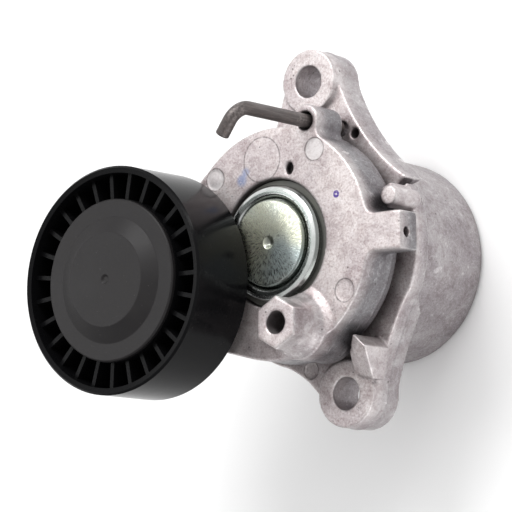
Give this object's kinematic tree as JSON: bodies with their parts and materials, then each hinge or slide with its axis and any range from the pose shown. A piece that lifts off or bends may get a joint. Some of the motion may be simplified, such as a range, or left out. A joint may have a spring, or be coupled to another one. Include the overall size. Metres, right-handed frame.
{
  "type": "belt tensioner idler",
  "caption": "Automatic belt tensioner: a two-eared cast housing with an inner torsion spring, a swinging arm, a smooth idler pulley on a ball bearing and a bent lock pin.",
  "frame": {"origin": "centre of the spring cup flat rear face, on the pivot axis", "axes": "+Z along the pivot axis from the cup towards the pulley; +X through the stop finger at rest; +Y towards the upper ear"},
  "size_m": [0.115, 0.1092, 0.0922],
  "materials": {
    "housing_casting": "die-cast, fine speckle",
    "arm_casting": "die-cast, fine speckle",
    "zinc_plate": "yellow zinc plate with radial rivet marks",
    "bright_steel": "bright turned steel",
    "bearing_plastic": "filled bearing plastic",
    "damping_plastic": "friction plastic",
    "spring_steel": "oil-tempered wire",
    "seal_rubber": "matt",
    "black_steel": "black oxide",
    "bearing_steel": "ground",
    "zinc_sheet": "zinc-plated sheet",
    "pulley_plastic": "moulded, polished belt face",
    "cap_plastic": "satin moulded",
    "ball_steel": "polished",
    "cage_plastic": "moulded polyamide",
    "pin_steel": "dark drawn wire, scuffed at the bend"
  },
  "bodies": {
    "housing": {"housing": "housing_casting", "pivot_shaft": "zinc_plate", "thrust_plate": "bright_steel", "lower_thrust_washer": "bearing_plastic", "torsion_spring": "spring_steel"},
    "arm": {"arm": "arm_casting", "damping_band": "damping_plastic", "lower_pivot_bush": "bearing_plastic", "upper_pivot_bush": "bearing_plastic", "friction_washer": "damping_plastic", "dust_seal": "seal_rubber", "pulley_bolt": "black_steel", "pulley_sleeve": "bright_steel", "bearing_inner_ring": "bearing_steel", "rear_dust_shield": "zinc_sheet"},
    "pulley": {"pulley": "pulley_plastic", "bearing_outer_ring": "bearing_steel", "front_bearing_seal": "seal_rubber", "rear_bearing_seal": "seal_rubber", "dust_cap": "cap_plastic"},
    "ball_set": {"bearing_balls": "ball_steel", "ball_cage": "cage_plastic"},
    "lock_pin": {"lock_pin": "pin_steel"}
  },
  "joints": [
    {"name": "arm_swing", "type": "hinge", "parent": "housing", "child": "arm", "pos_m": [0, 0, 0.03], "axis": [0, 0, 1], "range_deg": [-37, 3]},
    {"name": "pulley_spin", "type": "hinge", "parent": "arm", "child": "pulley", "pos_m": [-0.0387, -0.0094, 0.075], "axis": [0, 0, 1], "continuous": true},
    {"name": "ball_cage_spin", "type": "hinge", "parent": "arm", "child": "ball_set", "pos_m": [-0.0387, -0.0094, 0.075], "axis": [0, 0, 1], "continuous": true},
    {"name": "lock_pin_pull", "type": "slide", "parent": "arm", "child": "lock_pin", "axis": [0, 0, 1], "range_m": [0, 0.02]}
  ],
  "couplings": [
    {"joint": "ball_cage_spin", "follows": "pulley_spin", "ratio": 0.61825}
  ]
}
